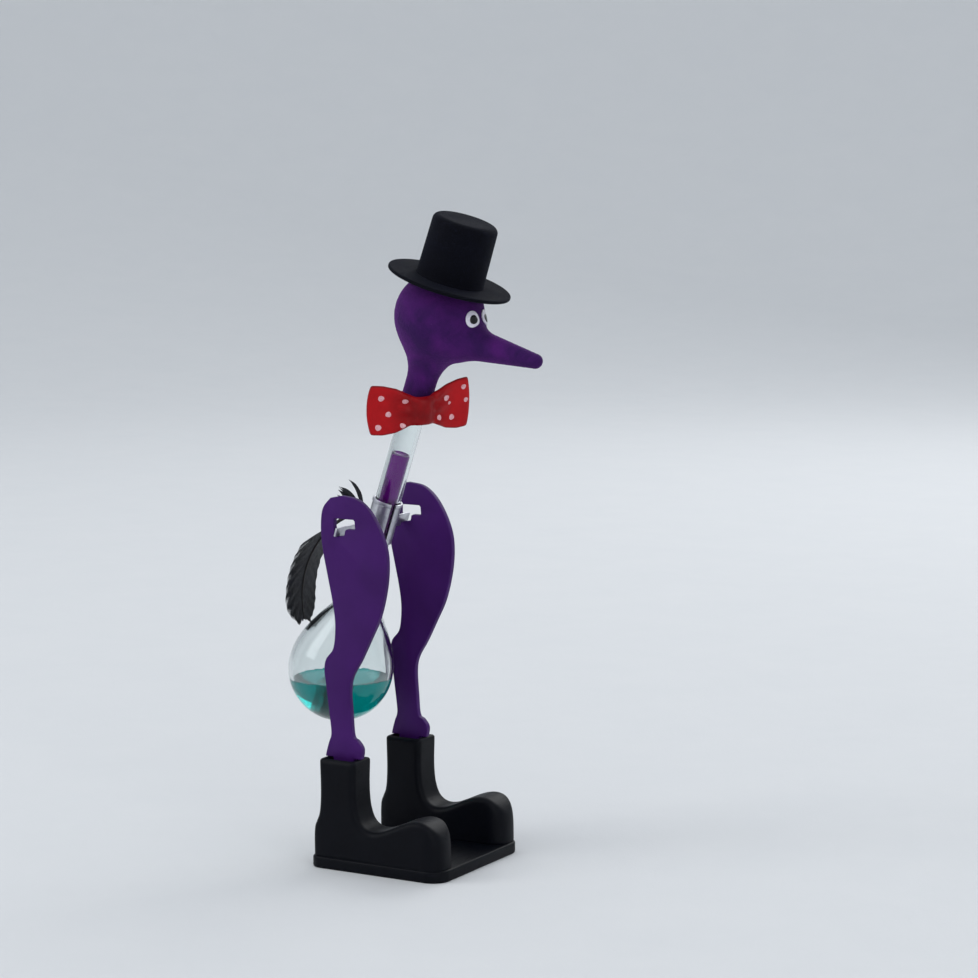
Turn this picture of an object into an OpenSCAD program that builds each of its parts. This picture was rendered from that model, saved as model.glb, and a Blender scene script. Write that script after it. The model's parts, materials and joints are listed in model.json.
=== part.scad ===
// Drinking bird: a desk toy with a glass body that rocks on two legs and dips its beak.
// Millimetres. +X is where the beak points, +Y is the bird's left side, +Z is up.
// The origin is on the table top, straight below the axis the bird rocks on.
// Every piece of the bird is drawn upright along its own tube and is then leaned forward about that axis.

/* [View] */
// which sub-part to draw

/* [Stand] */
// distance between the middles of the two legs
leg_spacing = 34; // [33:0.5:44]
// thickness of a leg's flat plate
leg_thick = 1.8; // [1.4:0.1:2.4]
// height of the boots' tops above the table
boot_height = 30; // [28:0.5:31]
// width of a boot across its toe
boot_width = 10.4; // [8.6:0.2:12]
// thickness of the plate that joins the boots
base_thick = 3.2; // [2:0.2:4]
// how far the base reaches in front of the rocking axis
base_front = 34.5; // [34.5:0.5:40]
// how far the base reaches behind the rocking axis
base_back = 6.6; // [6.6:0.2:12]

/* [Rocking axis] */
// height of the rocking axis above the table
pivot_height = 90.3; // [89:0.1:91]
// how far the tube's middle stands in front of the rocking axis
pivot_ahead = 2.6; // [2.4:0.02:3.8]
// forward lean of the tube at rest, in degrees
lean = 18; // [10:1:24]

/* [Glass] */
// outer diameter of the riser tube
tube_od = 7; // [6.4:0.1:7.4]
// bore of the riser tube
tube_bore = 5.2; // [3.6:0.1:5.6]
// outer diameter of the lower bulb
bulb_od = 28.8; // [24:0.2:29.4]
// height of the lower bulb's middle along the tube
bulb_mid = -41; // [-42:0.5:-38]
// thickness of the lower bulb's glass
glass_wall = 1.1; // [0.6:0.1:1.2]
// thickness of the head bulb's glass
head_wall = 0.6; // [0.5:0.1:1]
// outer diameter of the glass bulb inside the head
head_bulb_od = 21.6; // [18:0.2:22]

/* [Liquid] */
// height of the liquid in the lower bulb above the table
liquid_level = 48.3; // [40:0.1:54]
// height of the liquid column's top along the tube
column_top = 22.6; // [12:0.2:24]

/* [Head and hat] */
// height of the head's middle along the tube
head_mid = 62; // [60:0.5:64]
// diameter of the flocked head
head_od = 24.2; // [23.6:0.2:26]
// how far the beak's tip is from the tube's middle
beak_reach = 33; // [30:0.1:38]
// diameter of the hat's brim
brim_od = 33.6; // [26:0.2:40]
// diameter of the hat's crown at the brim
crown_od = 18.6; // [17.6:0.2:20]
// height of the hat's crown
crown_height = 16.6; // [12:0.2:22]
// thickness of the hat's felt
felt_thick = 1; // [0.8:0.1:1.4]
// diameter of an eye
eye_od = 4.5; // [3.6:0.1:4.8]

/* [Bow tie] */
// half of the bow tie's span
bow_half = 14.4; // [12:0.2:16]
// height of the bow tie's middle along the tube
bow_mid = 37.3; // [36:0.1:38]
// turn of the bow tie about the tube, in degrees
bow_turn = -38; // [-60:1:60]
// roll of the bow tie about the way it faces, in degrees
bow_roll = 15; // [-20:1:20]

/* [Hidden] */
$fn = 96;
snug = 0.05;                            // gap left between pieces that are fixed together
fine = 0.02;                            // gap under a piece that is stuck on a curved face
tube_r = tube_od / 2;
bore_r = tube_bore / 2;
tube_low = -52.6;                       // the tube's open lower end, just above the bulb's floor
tube_high = 53.4;                       // the tube's upper end, inside the head bulb
bulb_r = bulb_od / 2;
cone_tilt = 31;                         // slope of the bulb's shoulder
head_r = head_od / 2;
head_bulb_r = head_bulb_od / 2;
neck_r = 4.15;                          // outside of the flocked sleeve on the neck
neck_low = 34.6;                        // lower end of that sleeve, behind the bow tie
ear_thick = 0.6;                        // sheet metal of the crosspiece
ear_high = 2.2;                         // height of an ear above the rocking axis
seat_gap = 0.06;                        // running clearance of an ear in its notch
clip_low = -2.6;                        // lower end of the crosspiece's sleeve along the tube
clip_high = 9.1;                        // upper end of it
clip_wall = 0.45;
slit_turn = -33;                        // where the sleeve's slit faces
slit_wide = 1.3;
tenon_low = 21;                         // how deep a leg goes into its boot
tenon_wide = 6.4;
boot_mid_x = 1.9;                       // middle of a boot's shaft
brim_low = head_mid + sqrt(pow(head_r + fine, 2) - pow(7.8, 2));
beak_up = 8;                            // how far the beak points up from square to the tube
eye_side = 14.5;                        // half of the angle between the eyes
eye_up = 16;                            // how far the eyes look up
arc_x = 7;                              // centre of the tail feather's curve, ahead of the tube's middle
arc_z = -19;                            // height of that centre along the tube
arc_r = 26;                             // radius of the feather's curve
vane_wide = 15;
vane_from = 146;                         // where on that curve the vane begins, in degrees
vane_thick = 0.5;
big = 200;

// a smooth closed outline through the given points
function blend(a, b, c, d, t) =
    0.5 * (2 * b + (c - a) * t + (2 * a - 5 * b + 4 * c - d) * t * t + (3 * b - a - 3 * c + d) * t * t * t);
function smooth(p, n) = let (m = len(p)) [
    for (i = [0:m - 1]) for (k = [0:n - 1])
        blend(p[(i + m - 1) % m], p[i], p[(i + 1) % m], p[(i + 2) % m], k / n)
];

// a smooth open line through the given points
function smooth_run(p) = let (m = len(p)) concat(
    [for (i = [0:m - 2]) for (k = [0:5])
        blend(p[max(i - 1, 0)], p[i], p[i + 1], p[min(i + 2, m - 1)], k / 6)],
    [p[m - 1]]
);

// leans a piece of the bird forward about the rocking axis
module leaned() {
    translate([0, 0, pivot_height])
        rotate([0, lean, 0])
            translate([pivot_ahead, 0, 0])
                children();
}

// stands an X-Z drawing up as a plate of the given thickness, centred on the X-Z plane
module side_plate(thick) {
    rotate([90, 0, 0])
        linear_extrude(height = thick, center = true)
            children();
}

// ---------------------------------------------------------------- stand

// flat plate under both boots, straight in front and rounded at its corners as the boots are
module base_plate() {
    front_r = boot_width / 2;
    back_r = 3;
    side = (leg_spacing + boot_width) / 2;
    color("#10131c") {
        translate([-base_back, back_r - side, 0])
            cube([base_back + base_front - front_r, 2 * (side - back_r), base_thick]);
        translate([back_r - base_back, -side, 0])
            cube([base_back + base_front - front_r - back_r, 2 * side, base_thick]);
        translate([0, front_r - side, 0])
            cube([base_front, 2 * (side - front_r), base_thick]);
        for (sy = [-1, 1]) {
            translate([base_front - front_r, sy * (side - front_r), 0])
                cylinder(r = front_r, h = base_thick);
            translate([back_r - base_back, sy * (side - back_r), 0])
                cylinder(r = back_r, h = base_thick);
        }
    }
}

// outline of a boot seen from the side
module boot_side() {
    polygon(concat(
        [[-3.4, boot_height], [-3.8, boot_height - 0.8]],
        smooth_run([[-3.6, 24], [-3.6, 20], [-3.8, 16], [-4.6, 13.4], [-6, 11.6], [-6.5, 8.5], [-6.4, 5.5]]),
        [[-6.2, base_thick + fine], [base_front - 0.2, base_thick + fine]],
        smooth_run([[34.2, 5.5], [33.6, 10], [32, 13.4], [29.4, 15.5], [26.2, 15.9], [22.5, 14.9],
                    [18, 12.9], [14.6, 11.7], [11.6, 11.7], [9.2, 13.3], [7.9, 16.4], [7.4, 20], [7.3, 24]]),
        [[7.4, boot_height - 0.8], [7, boot_height]]
    ));
}

// outline of a boot seen from above
module boot_plan() {
    half = boot_width / 2;
    translate([base_front - half, 0])
        circle(r = half - fine);
    translate([4, -half])
        square([base_front - half - 4, 2 * half]);
    translate([-6.6, 0.4 - half])
        square([10.7, 2 * half - 0.8]);
}

// a boot with a socket for its leg
module boot(side) {
    color("#10131c")
        translate([0, side * leg_spacing / 2, 0])
            difference() {
                intersection() {
                    side_plate(boot_width)
                        boot_side();
                    linear_extrude(height = boot_height + 1)
                        boot_plan();
                }
                translate([boot_mid_x - tenon_wide / 2 - snug, -leg_thick / 2 - snug, tenon_low - snug])
                    cube([tenon_wide + 2 * snug, leg_thick + 2 * snug, boot_height]);
            }
}

module boot_left() { boot(1); }
module boot_right() { boot(-1); }

// outline of a leg: thigh, knee, shank, a cuff that sits on the boot's top, and the tenon below it
module leg_side() {
    polygon(concat(
        smooth_run([[1.6, 101], [6.5, 100.2], [10.4, 97.2], [13.4, 92.6], [15.3, 87.6], [15.8, 82.6], [15.2, 76.4],
                    [13.3, 69], [10.4, 62.9], [7.4, 57], [4.7, 52.4], [3.9, 48.4], [4.3, 41.5], [4.8, 36.2],
                    [6.2, 35], [7.5, 33.4], [7.7, 31.8], [7.3, boot_height + fine]]),
        [[boot_mid_x + tenon_wide / 2, boot_height + fine], [boot_mid_x + tenon_wide / 2, tenon_low],
         [boot_mid_x - tenon_wide / 2, tenon_low], [boot_mid_x - tenon_wide / 2, boot_height + fine]],
        smooth_run([[-3.8, boot_height + fine], [-3.5, 31.4], [-2.8, 33.8], [-2, 36.4], [-2.5, 41.2], [-3.5, 48.9],
                    [-4.1, 53.6], [-3.5, 56.6], [-1.4, 59.2], [-0.7, 62.6], [-0.6, 67], [-1.3, 72], [-2.8, 79],
                    [-4.3, 86], [-4.9, 92], [-4.3, 97.2], [-1.8, 100.3]])
    ));
}

// the window an ear rocks in, drawn with the rocking axis at the middle of its round seat
module leg_window() {
    seat = ear_thick / 2 + seat_gap;
    circle(r = seat, $fn = 48);
    polygon([
        [-seat, 0], [-0.86, 2.3], [-0.8, 4.1], [-0.4, 4.5], [5.3, 4.5], [5.7, 4.1], [5.9, 2.1], [5.6, 1.8],
        [3.3, 1.8], [2.8, 1.5], [2.5, 0.08], [seat * cos(80), -seat * sin(80)],
    ]);
}

// a leg with its window and the tenon that goes into the boot
module leg(side) {
    color("#3a1c58")
        translate([0, side * leg_spacing / 2, 0])
            side_plate(leg_thick)
                difference() {
                    leg_side();
                    translate([0, pivot_height])
                        leg_window();
                }
}

module leg_left() { leg(1); }
module leg_right() { leg(-1); }

// ---------------------------------------------------------------- crosspiece and tail

// a sheet-metal sleeve that grips the tube, with an ear to each leg
module crosspiece() {
    ear_end = leg_spacing / 2 + leg_thick / 2 + 0.9;
    stop_end = leg_spacing / 2 - leg_thick / 2 - 0.8;
    color("#b9bcc2")
        leaned()
            difference() {
                union() {
                    translate([0, 0, clip_low])
                        cylinder(r = tube_r + snug + clip_wall, h = clip_high - clip_low);
                    translate([-pivot_ahead - ear_thick / 2, -ear_end, 0])
                        cube([ear_thick, 2 * ear_end, ear_high]);
                    translate([-pivot_ahead, ear_end, 0])
                        rotate([90, 0, 0])
                            cylinder(r = ear_thick / 2, h = 2 * ear_end);
                    for (y = [-stop_end, stop_end - 3.4])
                        translate([-pivot_ahead - ear_thick / 2, y, -1.4])
                            cube([ear_thick, 3.4, 1.5 + ear_high]);
                }
                translate([0, 0, clip_low - 1])
                    cylinder(r = tube_r + snug, h = clip_high - clip_low + 2);
                rotate([0, 0, slit_turn])
                    translate([0, -slit_wide / 2, clip_low - 1])
                        cube([tube_r + 3, slit_wide, clip_high - clip_low + 2]);
            }
}

// lays a drawing of the feather's section along the feather's curve
module along_arc(from, span) {
    leaned()
        translate([arc_x, 0, arc_z])
            rotate([90, 0, 0])
                rotate([0, 0, from])
                    rotate_extrude(angle = span)
                        children();
}

// the feather's shaft, from the back of the crosspiece's sleeve to the tip
module feather_quill() {
    color("#17181d")
        along_arc(116.5, 97.5)
            translate([arc_r, 0])
                circle(r = 0.55);
}

// the feather's flat vane, in two halves beside the shaft
module feather_vane() {
    color("#101116")
        for (side = [-1, 1])
            along_arc(vane_from, 216 - vane_from)
                translate([arc_r - vane_thick / 2, side > 0 ? 0.55 + fine : -vane_wide / 2])
                    square([vane_thick, vane_wide / 2 - 0.55 - fine]);
}

// ---------------------------------------------------------------- glass and liquid

// the straight glass tube, open at both ends
module riser_tube() {
    color("#cfdfe6", 0.4)
        leaned()
            difference() {
                translate([0, 0, tube_low])
                    cylinder(r = tube_r, h = tube_high - tube_low);
                translate([0, 0, tube_low - 1])
                    cylinder(r = bore_r, h = tube_high - tube_low + 2);
            }
}

// a ball with a straight shoulder that runs up to the tube
module teardrop(r, neck) {
    touch_r = r * cos(cone_tilt);
    touch_z = r * sin(cone_tilt);
    shoulder = (touch_r - neck) / tan(cone_tilt);
    translate([0, 0, bulb_mid]) {
        sphere(r = r);
        translate([0, 0, touch_z])
            cylinder(r1 = touch_r, r2 = neck, h = shoulder);
    }
}

// the lower bulb, closed on the tube at its neck
module lower_bulb() {
    neck_z = bulb_mid + bulb_r * sin(cone_tilt) + (bulb_r * cos(cone_tilt) - tube_r - 0.8) / tan(cone_tilt);
    color("#cfdfe6", 0.4)
        leaned()
            difference() {
                union() {
                    teardrop(bulb_r, tube_r + 0.8);
                    translate([0, 0, neck_z - 0.3])
                        cylinder(r1 = tube_r + 0.8, r2 = tube_r + 0.3, h = 2);
                }
                teardrop(bulb_r - glass_wall, tube_r - 0.5);
                translate([0, 0, bulb_mid])
                    cylinder(r = tube_r + fine, h = 40);
            }
}

// the glass bulb inside the head, with its sealed tip under the hat
module head_bulb() {
    color("#cfdfe6", 0.4)
        leaned()
            translate([0, 0, head_mid])
                difference() {
                    union() {
                        sphere(r = head_bulb_r);
                        translate([0, 0, head_bulb_r - 0.3])
                            cylinder(r1 = 1.8, r2 = 0.6, h = 3);
                    }
                    sphere(r = head_bulb_r - head_wall);
                    translate([0, 0, -head_mid])
                        cylinder(r = tube_r + fine, h = head_mid);
                }
}

// the liquid that stands in the lower bulb, level with the table
module bulb_liquid() {
    color("#198c86", 0.8)
        difference() {
            intersection() {
                leaned()
                    teardrop(bulb_r - glass_wall - snug, tube_r - 0.5);
                translate([-big / 2, -big / 2, 0])
                    cube([big, big, liquid_level]);
            }
            leaned()
                translate([0, 0, tube_low - snug])
                    cylinder(r = tube_r + snug, h = big);
        }
}

// the liquid column inside the tube
module column_liquid() {
    color("#6e2a7a", 0.85)
        leaned()
            translate([0, 0, tube_low + 0.2])
                cylinder(r = bore_r - snug, h = column_top - tube_low - 0.2);
}

// ---------------------------------------------------------------- head

// outside of the flocked head and its neck sleeve, made larger all round by grow
module head_outside(grow) {
    translate([0, 0, head_mid])
        sphere(r = head_r + grow);
    translate([0, 0, head_mid - 14])
        cylinder(r1 = neck_r + grow, r2 = 9.6 + grow, h = 6.6);
    translate([0, 0, neck_low])
        cylinder(r = neck_r + grow, h = head_mid - 14 - neck_low + 0.5);
}

// the flocked cover over the glass head and neck, open at the top under the hat
module head_cover() {
    color("#3f1761")
        leaned()
            difference() {
                head_outside(0);
                translate([0, 0, head_mid])
                    sphere(r = head_bulb_r + snug);
                translate([0, 0, neck_low - 1])
                    cylinder(r = tube_r + snug, h = head_mid - neck_low);
                translate([0, 0, head_mid])
                    cylinder(r = 3, h = 20);
            }
}

// the flocked beak, stuck on the front of the head
module beak() {
    color("#3f1761")
        leaned()
            difference() {
                translate([0, 0, head_mid - 5.7])
                    rotate([0, 90 - beak_up, 0]) {
                        translate([0, 0, 8.4])
                            cylinder(r1 = 5.2, r2 = 3.7, h = 5.6);
                        translate([0, 0, 14])
                            cylinder(r1 = 3.7, r2 = 3, h = 9.5);
                        translate([0, 0, 23.5])
                            cylinder(r1 = 3, r2 = 2.4, h = beak_reach - 2.4 - 23.5);
                        translate([0, 0, beak_reach - 2.4])
                            sphere(r = 2.4);
                    }
                head_outside(fine);
            }
}

// turns a piece drawn along +X so that it lies where an eye looks
module eye_place(side) {
    leaned()
        translate([0, 0, head_mid])
            rotate([0, 0, side * eye_side])
                rotate([0, -eye_up, 0])
                    children();
}

// the white of an eye, a shallow cap stuck on the head
module eye_white(side) {
    color("#e9e8ee")
        eye_place(side)
            intersection() {
                difference() {
                    sphere(r = head_r + 0.55);
                    sphere(r = head_r + fine);
                }
                rotate([0, 90, 0])
                    cylinder(r = eye_od / 2, h = 20);
            }
}

// the black pupil, a smaller cap on the white
module pupil(side) {
    color("#08080a")
        eye_place(side)
            intersection() {
                difference() {
                    sphere(r = head_r + 0.85);
                    sphere(r = head_r + 0.55 + fine);
                }
                translate([0, -side * 0.35, -0.25])
                    rotate([0, 90, 0])
                        cylinder(r = eye_od * 0.255, h = 20, $fn = 64);
            }
}

module eye_white_left() { eye_white(1); }
module eye_white_right() { eye_white(-1); }
module pupil_left() { pupil(1); }
module pupil_right() { pupil(-1); }

// ---------------------------------------------------------------- hat

// the felt ring that rests on the head
module hat_brim() {
    color("#10121a")
        leaned()
            translate([0, 0, brim_low])
                difference() {
                    cylinder(r = brim_od / 2, h = felt_thick, $fn = 128);
                    translate([0, 0, -1])
                        cylinder(r = 7.8, h = felt_thick + 2);
                }
}

// the felt crown, closed and rounded at the top
module hat_crown() {
    low_r = crown_od / 2;
    high_r = low_r - 0.4;
    round_r = 1.6;
    color("#10121a")
        leaned()
            translate([0, 0, brim_low + felt_thick + fine])
                rotate_extrude()
                    difference() {
                        union() {
                            polygon([[0, 0], [low_r, 0], [high_r, crown_height - round_r],
                                     [high_r - round_r, crown_height - round_r], [high_r - round_r, crown_height],
                                     [0, crown_height]]);
                            intersection() {
                                translate([high_r - round_r, crown_height - round_r])
                                    circle(r = round_r);
                                translate([high_r - round_r, crown_height - round_r])
                                    square([round_r, round_r]);
                            }
                        }
                        polygon([[-1, -1], [low_r - felt_thick, -1], [high_r - felt_thick - 0.3, crown_height - 2],
                                 [high_r - 2.4, crown_height - felt_thick], [-1, crown_height - felt_thick]]);
                    }
}

// ---------------------------------------------------------------- bow tie

// carries a drawing to the neck, facing the way the bow tie faces
module bow_place() {
    leaned()
        translate([0, 0, bow_mid])
            rotate([0, 0, bow_turn])
                children();
}

// outline of one wing, with its root at the knot
module bow_wing() {
    s = bow_half / 14.4;
    scale([s, 1])
        polygon(smooth([
            [0, 3.7], [2.4, 3.8], [4.4, 4.8], [7, 6.2], [10.4, 6.9], [13.4, 6.8], [14.2, 4.4], [14.6, 0.4],
            [14.2, -3.6], [13.3, -6.3], [10.2, -6.8], [7, -6.1], [4.4, -4.7], [2.4, -3.8], [0, -3.7],
        ], 5));
}

// the moulded bow tie: a knot with a wing each side, swept back a little
module bow_tie() {
    front = neck_r + 0.9;
    color("#9c1a22")
        bow_place()
            difference() {
                rotate([bow_roll, 0, 0]) {
                    for (side = [-1, 1])
                        translate([front + 1.1, 0, 0])
                            rotate([0, 0, side * 16])
                                rotate([90, 0, side * 90])
                                    translate([0, 0, -0.8])
                                        linear_extrude(height = 1.6)
                                            bow_wing();
                    translate([front - 0.6, -3, -3.6])
                        cube([3.2, 6, 7.2]);
                }
                translate([0, 0, -20])
                    cylinder(r = neck_r + 0.9, h = 40);
            }
}

// the open ring behind the knot that snaps round the neck
module bow_clip() {
    color("#9c1a22")
        bow_place()
            difference() {
                translate([0, 0, -2])
                    cylinder(r = neck_r + 0.9 - fine, h = 4);
                translate([0, 0, -10])
                    cylinder(r = neck_r + snug, h = 20);
                translate([-10, -3, -5])
                    cube([10, 6, 10]);
            }
}

// ---------------------------------------------------------------- the whole toy

base_plate();
boot_left();
boot_right();
leg_left();
leg_right();
crosspiece();
feather_quill();
feather_vane();
riser_tube();
lower_bulb();
head_bulb();
bulb_liquid();
column_liquid();
head_cover();
beak();
eye_white_left();
eye_white_right();
pupil_left();
pupil_right();
hat_brim();
hat_crown();
bow_tie();
bow_clip();
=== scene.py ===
"""Looks of the drinking bird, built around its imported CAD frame.

Lengths are millimetres until a piece is placed. All that rocks is drawn upright, as (ahead, left, up) from
the point of the tube's axis nearest to the rocking axis, and LEANED then leans it as the frame does. The
stand's pieces are drawn straight in the frame, and STAND only turns them into metres.
"""

import json
import math

import bmesh
import bpy
import numpy as np
from mathutils import Matrix, Vector


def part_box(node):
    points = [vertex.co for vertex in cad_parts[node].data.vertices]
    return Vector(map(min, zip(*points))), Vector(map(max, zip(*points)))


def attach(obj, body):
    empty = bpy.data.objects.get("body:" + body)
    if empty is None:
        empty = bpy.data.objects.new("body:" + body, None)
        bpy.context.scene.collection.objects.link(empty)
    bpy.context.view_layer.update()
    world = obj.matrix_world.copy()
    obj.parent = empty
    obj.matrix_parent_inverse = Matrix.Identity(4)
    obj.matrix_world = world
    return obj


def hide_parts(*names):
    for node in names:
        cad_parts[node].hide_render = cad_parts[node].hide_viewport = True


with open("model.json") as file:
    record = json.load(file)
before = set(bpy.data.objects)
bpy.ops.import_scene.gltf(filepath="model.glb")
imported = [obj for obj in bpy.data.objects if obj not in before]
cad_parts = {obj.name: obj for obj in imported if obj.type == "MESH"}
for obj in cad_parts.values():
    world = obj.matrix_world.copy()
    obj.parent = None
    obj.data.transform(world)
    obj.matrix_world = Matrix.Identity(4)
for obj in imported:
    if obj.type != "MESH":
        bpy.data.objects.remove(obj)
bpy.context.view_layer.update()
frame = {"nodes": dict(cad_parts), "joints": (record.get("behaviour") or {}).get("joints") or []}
MM = 0.001

# ------------------------------------------------------------------ places, from the frame

joints = {joint["name"]: joint for joint in frame["joints"]}
PIVOT = Vector(joints["rock"]["pos_m"])
UP = Vector(joints["trim"]["axis"])
AHEAD = Vector((UP.z, 0, -UP.x))
LEFT = Vector((0, 1, 0))
tube_middle = (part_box("riser_tube")[0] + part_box("riser_tube")[1]) / 2
LEAN_ORIGIN = PIVOT + AHEAD * (tube_middle - PIVOT).dot(AHEAD)
LEANED = (np.array([AHEAD, LEFT, UP]).T, np.array(LEAN_ORIGIN))
STAND = (np.eye(3), np.zeros(3))


def vertices(mesh):
    flat = np.empty(len(mesh.vertices) * 3)
    mesh.vertices.foreach_get("co", flat)
    return flat.reshape(-1, 3)


def span(node, place=LEANED):
    """Lowest and highest corner of a CAD node, in millimetres and in that place's own directions."""
    turn, origin = place
    points = (vertices(frame["nodes"][node].data) - origin) @ turn / MM
    return points.min(0), points.max(0)


TUBE_R = span("riser_tube")[1][1]
TUBE_LOW, TUBE_HIGH = span("riser_tube")[0][2], span("riser_tube")[1][2]
COLUMN_R = span("column_liquid")[1][1]
COLUMN_LOW, COLUMN_HIGH = span("column_liquid")[0][2], span("column_liquid")[1][2]
BORE_R = COLUMN_R + 0.05
BULB_R = span("lower_bulb")[1][1]
BULB_MID = span("lower_bulb")[0][2] + BULB_R
LEVEL = span("bulb_liquid", STAND)[1][2]
HEAD_R = -span("head_cover")[0][0]
NECK_LOW = span("head_cover")[0][2]
BRIM_LOW, BRIM_HIGH = span("hat_brim")[0][2], span("hat_brim")[1][2]
BRIM_R = span("hat_brim")[1][1]
CROWN_LOW, CROWN_HIGH = span("hat_crown")[0][2], span("hat_crown")[1][2]
CROWN_R = span("hat_crown")[1][1]
HEAD_MID = 62.0  # the head's middle, up along the tube
BOW_MID = 37.3  # the bow tie's middle, up along the tube
KNOT = (4.8, -3.8, BOW_MID)  # the bow tie's knot, as (ahead, left, up); the bow's red is painted darker round it as shade
SLEEVE_LOW, SLEEVE_HIGH = -2.6, 9.1

# ------------------------------------------------------------------ camera, made first

CAMERA_TARGET = Vector((0.0367, 0, 0.1031))
CAMERA_AZIMUTH, CAMERA_ELEVATION = 29.7, 7.25
CAMERA_DISTANCE, CAMERA_LENS = 0.8, 111.1


def place_camera():
    """A camera at its distance from the target; azimuth 0 looks along +Y."""
    turn, rise = math.radians(CAMERA_AZIMUTH), math.radians(CAMERA_ELEVATION)
    back = Vector((math.sin(turn) * math.cos(rise), -math.cos(turn) * math.cos(rise), math.sin(rise)))
    data = bpy.data.cameras.new("camera")
    data.lens, data.sensor_width, data.clip_start = CAMERA_LENS, 36, 0.01
    camera = bpy.data.objects.new("camera", data)
    camera.location = CAMERA_TARGET + back * CAMERA_DISTANCE
    camera.rotation_euler = back.to_track_quat("Z", "Y").to_euler()
    bpy.context.scene.collection.objects.link(camera)
    bpy.context.scene.camera = camera


place_camera()

# ------------------------------------------------------------------ materials


class Finish:
    """A procedural material: a Principled shader and the nodes that feed it, in metres of the piece."""

    def __init__(self, name, **settings):
        self.material = bpy.data.materials.new(name)
        self.material.use_nodes = True
        self.tree = self.material.node_tree
        self.shader = self.tree.nodes["Principled BSDF"]
        self.place = self.tree.nodes.new("ShaderNodeTexCoord").outputs["Object"]
        for socket, value in settings.items():
            self.shader.inputs[socket.replace("_", " ")].default_value = value

    def node(self, kind, inputs, output=0, **settings):
        made = self.tree.nodes.new("ShaderNode" + kind)
        for key, value in settings.items():
            setattr(made, key, value)
        for socket, value in inputs.items():
            if isinstance(value, bpy.types.NodeSocket):
                self.tree.links.new(value, made.inputs[socket])
            else:
                made.inputs[socket].default_value = value
        return made.outputs[output]

    def stretched(self, x, y, z):
        return self.node("Mapping", {"Vector": self.place, "Scale": (x, y, z)})

    def noise(self, scale, detail=3.0, roughness=0.55, vector=None, warp=0.0):
        inputs = {"Vector": vector or self.place, "Scale": scale, "Detail": detail, "Roughness": roughness}
        return self.node("TexNoise", {**inputs, "Distortion": warp})

    def cells(self, scale):
        return self.node("TexVoronoi", {"Vector": self.place, "Scale": scale})

    def math(self, how, a, b):
        return self.node("Math", {0: a, 1: b}, operation=how)

    def spread(self, value, low, high, to_low=0.0, to_high=1.0):
        """Maps low..high of a value to to_low..to_high, and holds it there beyond."""
        inputs = {"Value": value, "From Min": low, "From Max": high, "To Min": to_low, "To Max": to_high}
        return self.node("MapRange", inputs)

    def mix(self, share, a, b):
        """Blends from colour a to colour b as share goes from 0 to 1."""
        made = self.tree.nodes.new("ShaderNodeMix")
        made.data_type = "RGBA"
        for socket, value in (("Factor", share), ("A", a), ("B", b)):
            target = next(s for s in made.inputs if s.name == socket and s.enabled)
            if isinstance(value, bpy.types.NodeSocket):
                self.tree.links.new(value, target)
            else:
                target.default_value = value
        return next(s for s in made.outputs if s.enabled)

    def edges(self, low=0.53, high=0.6):
        """1 on the piece's outer edges, 0 elsewhere."""
        return self.spread(self.node("NewGeometry", {}, "Pointiness"), low, high)

    def feed(self, **sockets):
        for socket, value in sockets.items():
            self.tree.links.new(value, self.shader.inputs[socket.replace("_", " ")])
        return self

    def absorb(self, colour, density):
        """Fills the piece with a clear medium that colours what is seen through it."""
        volume = self.node("VolumeAbsorption", {"Color": colour, "Density": density})
        self.tree.links.new(volume, self.tree.nodes["Material Output"].inputs["Volume"])

    def bump(self, height, depth):
        """Raises the surface by up to depth metres where the height is 1."""
        return self.feed(Normal=self.node("Bump", {"Height": height, "Distance": depth, "Strength": 1.0}))


def rgb(red, green, blue):
    """A colour from its 0 to 255 screen values."""
    screen = (red / 255, green / 255, blue / 255)
    return (*(((v + 0.055) / 1.055) ** 2.4 if v > 0.04045 else v / 12.92 for v in screen), 1)


def moulded(name, colour, worn, roughness, **settings):
    """Moulded plastic: a fine spark-eroded grain, cloudy gloss, faint handling marks and paler worn edges."""
    look = Finish(name, **settings)
    cloud = look.noise(70, 4)
    marks = look.spread(look.noise(900, 2, vector=look.stretched(1, 0.15, 0.4), warp=1.5), 0.62, 0.72)
    shade = look.mix(look.spread(cloud, 0.35, 0.65), colour, tuple(0.78 * c for c in colour[:3]) + (1,))
    wear = look.math("MULTIPLY", look.edges(), look.spread(look.noise(260, 5), 0.4, 0.65))
    look.feed(
        Base_Color=look.mix(wear, shade, worn),
        Roughness=look.math("ADD", look.spread(cloud, 0.3, 0.7, roughness - 0.06, roughness + 0.07),
                            look.math("MULTIPLY", marks, 0.1)),
    )
    relief = look.math("ADD", look.noise(5200, 2), look.math("MULTIPLY", marks, -0.6))
    return look.bump(relief, 0.000012).material


def clear_glass():
    """Blown glass: nearly colourless, with long faint draw lines and a little haze from handling."""
    look = Finish("blown_glass", Transmission_Weight=1.0, IOR=1.47, Base_Color=(0.955, 0.985, 0.98, 1),
                  Specular_Tint=(0.6, 0.62, 0.64, 1))
    look.absorb((0.6, 0.66, 0.68, 1), 150)
    haze = look.spread(look.noise(160, 5, warp=0.6), 0.6, 0.85, 0.0, 0.05)
    look.feed(Roughness=haze)
    waves = look.math("ADD", look.noise(70, 2, vector=look.stretched(1, 1, 0.25)), look.noise(210, 1))
    return look.bump(waves, 0.00003).material


def liquid(name, colour, tint, density, clear):
    """Dyed liquid, a little cloudy, darker the deeper one looks into it."""
    look = Finish(name, Transmission_Weight=clear, IOR=1.36, Base_Color=colour,
                  Specular_Tint=(0.3, 0.3, 0.3, 1))
    look.feed(Roughness=look.spread(look.noise(240, 3), 0.5, 0.8, 0.0, 0.03))
    look.absorb(tint, density)
    return look.bump(look.noise(300, 1), 0.000008).material


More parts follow.
